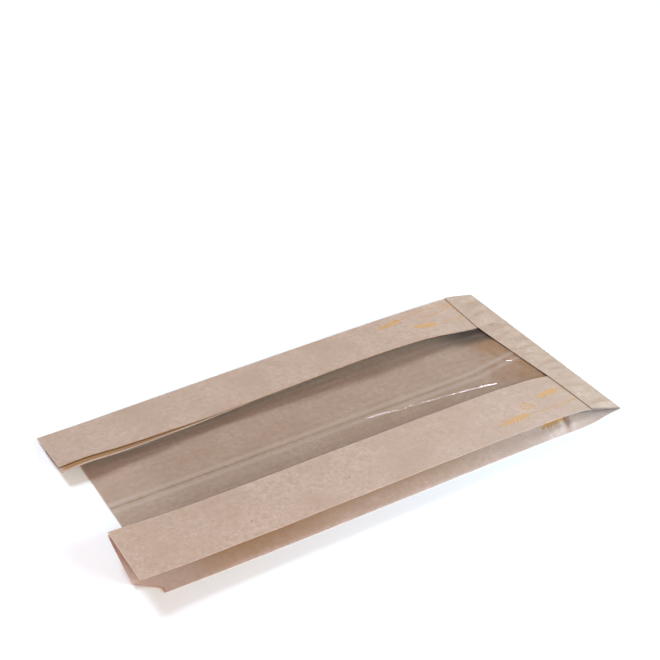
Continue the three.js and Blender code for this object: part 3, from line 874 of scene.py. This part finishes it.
def clear_film(name):
    """Clear film: it lets light through with a faint tint, and gives back a sharp gloss. The gloss
    goes from a small share, higher in thin streaks along the web, to its full one at a glance, by
    the fifth power of how far the film faces away. Tint and streaks fade towards the mouth."""
    material = new_material(name)
    nodes = material.node_tree.nodes
    nodes.remove(nodes["Principled BSDF"])
    where = add_node(material, "ShaderNodeTexCoord").outputs["Object"]

    def remap(value, **ends):
        values = {end.replace("_", " ").title(): place for end, place in ends.items()}
        values["Value"] = value
        return add_node(material, "ShaderNodeMapRange", values).outputs["Result"]

    patches = add_node(material, "ShaderNodeTexNoise", {"Scale": 60, "Detail": 3, "Vector": where})
    rough = remap(patches.outputs["Fac"], to_min=0.02, to_max=0.06)
    gloss = add_node(material, "ShaderNodeBsdfGlossy", {"Color": (1, 1, 1, 1), "Roughness": rough})
    from_mouth = add_node(material, "ShaderNodeSeparateXYZ", {"Vector": where}).outputs["X"]
    tinted = remap(from_mouth, from_min=(MOUTH_X + 2) * MM, from_max=(MOUTH_X + 70) * MM)
    tones = {"Factor": tinted, "A": (1, 1, 1, 1), "B": FILM_TINT}
    tint = add_node(material, "ShaderNodeMix", tones, data_type="RGBA")
    clear = add_node(material, "ShaderNodeBsdfTransparent", {"Color": tint.outputs["Result"]})
    facing = add_node(material, "ShaderNodeLayerWeight", {"Blend": 0.5}).outputs["Facing"]
    glance = add_node(material, "ShaderNodeMath", {0: facing, 1: 5.0}, operation="POWER")
    stretch = add_node(material, "ShaderNodeMapping", {"Scale": (5, 230, 1), "Vector": where})
    streaks = add_node(material, "ShaderNodeTexNoise",
                       {"Scale": 1.0, "Detail": 3, "Vector": stretch.outputs["Vector"]})
    least = remap(streaks.outputs["Fac"], from_min=0.45, from_max=0.75,
                  to_min=GLOSS_LEAST, to_max=GLOSS_STREAK)
    inward = remap(from_mouth, from_min=(MOUTH_X + 8) * MM, from_max=(MOUTH_X + 45) * MM)
    fading = add_node(material, "ShaderNodeMath", {0: least, 1: inward}, operation="MULTIPLY")
    share = remap(glance.outputs["Value"], to_min=fading.outputs["Value"], to_max=GLOSS_AT_A_GLANCE)
    both = add_node(material, "ShaderNodeMixShader",
                    {"Fac": share, 1: clear.outputs["BSDF"], 2: gloss.outputs["BSDF"]})
    link(material, both.outputs["Shader"], nodes["Material Output"].inputs["Surface"])
    return material


film = make_piece("clear_window_film", [sheet_arrays(film_grid(), FILM_WALL)],
                  clear_film("clear film"))
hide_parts("window_film")

# Table and backdrop: one plain white sweep and soft daylight all round. A broad lamp stands behind,
# three softer ones in front, at the bottom end and low beside the bag, and two show in gloss only.

FLOOR_SIZE = 3.2
FLOOR_GAP = 0.0002
FLOOR_GLOW = 0.09


def background_rays(owner):
    """1 for the rays that show the plain background: the camera's, those of gloss and those through
    clear film. Diffuse rays, and so the glow in the paper, don't see it."""
    path = add_node(owner, "ShaderNodeLightPath")
    seen = path.outputs["Is Camera Ray"]
    for kind, operation in (("Is Glossy Ray", "MAXIMUM"), ("Is Transmission Ray", "MAXIMUM"),
                            ("Is Diffuse Ray", "SUBTRACT")):
        seen = add_node(owner, "ShaderNodeMath", {0: seen, 1: path.outputs[kind]},
                        operation=operation, use_clamp=True).outputs["Value"]
    return seen


def white_floor(name):
    """Matt white that keeps the bag's shadow. What the camera, gloss and clear film see of it is
    lifted by a plain glow, so that it ends as white as the backdrop."""
    material = new_material(name)
    nodes = material.node_tree.nodes
    nodes.remove(nodes["Principled BSDF"])
    matt = add_node(material, "ShaderNodeBsdfDiffuse", {"Color": (0.9, 0.9, 0.9, 1)})
    level = add_node(material, "ShaderNodeMath", {0: background_rays(material), 1: FLOOR_GLOW},
                     operation="MULTIPLY")
    glow = add_node(material, "ShaderNodeEmission",
                    {"Color": (1, 0.9, 0.8, 1), "Strength": level.outputs["Value"]})
    add = add_node(material, "ShaderNodeAddShader",
                   {0: matt.outputs["BSDF"], 1: glow.outputs["Emission"]})
    link(material, add.outputs["Shader"], nodes["Material Output"].inputs["Surface"])
    return material


half = FLOOR_SIZE / 2
floor_mesh = bpy.data.meshes.new("table")
floor_mesh.from_pydata([(-half, -half, 0), (half, -half, 0), (half, half, 0), (-half, half, 0)], [],
                       [(0, 1, 2, 3)])
floor = bpy.data.objects.new("table", floor_mesh)
bpy.context.scene.collection.objects.link(floor)
floor.location.z = cad_box[0][2] - FLOOR_GAP
floor_mesh.materials.append(white_floor("white table"))


def soft_lamp(name, width, height, place, aim, power, colour, glossy=True, diffuse=True):
    """A soft lamp at a place, turned to look at a point on the table. It can be left out of what
    gloss shows, or out of what lights matt things."""
    data = bpy.data.lights.new(name, "AREA")
    data.shape = "RECTANGLE"
    data.size, data.size_y = width, height
    data.energy = power
    data.color = colour
    lamp = bpy.data.objects.new(name, data)
    lamp.location = place
    lamp.rotation_euler = (Vector(aim) - Vector(place)).to_track_quat("-Z", "Y").to_euler()
    lamp.visible_camera = False
    lamp.visible_glossy = glossy
    lamp.visible_diffuse = diffuse
    bpy.context.scene.collection.objects.link(lamp)


PALE_BLUE = (0.66, 0.87, 1.0)
ORANGE = (1.0, 0.42, 0.12)
AQUA = (0.73, 1.0, 0.95)
BLUE = (0.2, 0.52, 1.0)
PALE_VIOLET = (0.9, 0.88, 1.0)
SKY = (0.42, 0.29, 0.27, 1)
BACKDROP = (1, 1, 1, 1)

soft_lamp("lamp behind", 0.8, 0.8, (-0.43, 1.61, 1.44), (0, 0, 0), 53, PALE_BLUE)
soft_lamp("lamp in front", 0.5, 0.5, (-0.25, -0.95, 0.2), (0, -0.05, 0), 4.8, ORANGE, glossy=False)
soft_lamp("lamp at the bottom end", 0.6, 0.6, (0.8, -0.9, 0.45), (0.1, -0.05, 0), 20, AQUA,
          glossy=False)
soft_lamp("low lamp", 0.16, 0.16, (0.18, -0.40, 0.06), (0.12, -0.09, 0), 2.4, BLUE, glossy=False)
soft_lamp("strip lamp", 0.5, 0.12, (0.636, 0.68, 0.797), (0.065, -0.023, 0), 6.5, PALE_VIOLET,
          diffuse=False)
soft_lamp("small lamp at the flap", 0.22, 0.2, (0.856, 0.622, 0.747), (0.15, -0.008, 0), 6.0,
          PALE_VIOLET, diffuse=False)

world = bpy.data.worlds.new("daylight")
bpy.context.scene.world = world
world.use_nodes = True
sky_tones = {"Factor": background_rays(world), "A": SKY, "B": BACKDROP}
sky = add_node(world, "ShaderNodeMix", sky_tones, data_type="RGBA")
link(world, sky.outputs["Result"], world.node_tree.nodes["Background"].inputs["Color"])

# Camera: looks down on the mouth end from the right, from where the photo was taken. Its place is
# in mm from the mouth and the right fold.

CAMERA_PLACE = (-180.6, -523.65, 545.34)
CAMERA_HEADING = 59.369
CAMERA_PITCH = 33.126
CAMERA_ROLL = -0.28
FOCAL_PIXELS = 1275.1
IMAGE_WIDTH = 660

camera_data = bpy.data.cameras.new("camera")
camera_data.sensor_width = 36.0
camera_data.lens = FOCAL_PIXELS / IMAGE_WIDTH * camera_data.sensor_width
camera = bpy.data.objects.new("camera", camera_data)
bpy.context.scene.collection.objects.link(camera)
turn = Matrix.Rotation(math.radians(CAMERA_HEADING - 90), 4, "Z")
turn = turn @ Matrix.Rotation(math.radians(90 - CAMERA_PITCH), 4, "X")
turn = turn @ Matrix.Rotation(math.radians(CAMERA_ROLL), 4, "Z")
camera.matrix_world = Matrix.Translation(to_frame(np.array(CAMERA_PLACE))) @ turn
bpy.context.scene.camera = camera
bpy.context.scene.view_settings.view_transform = "Standard"
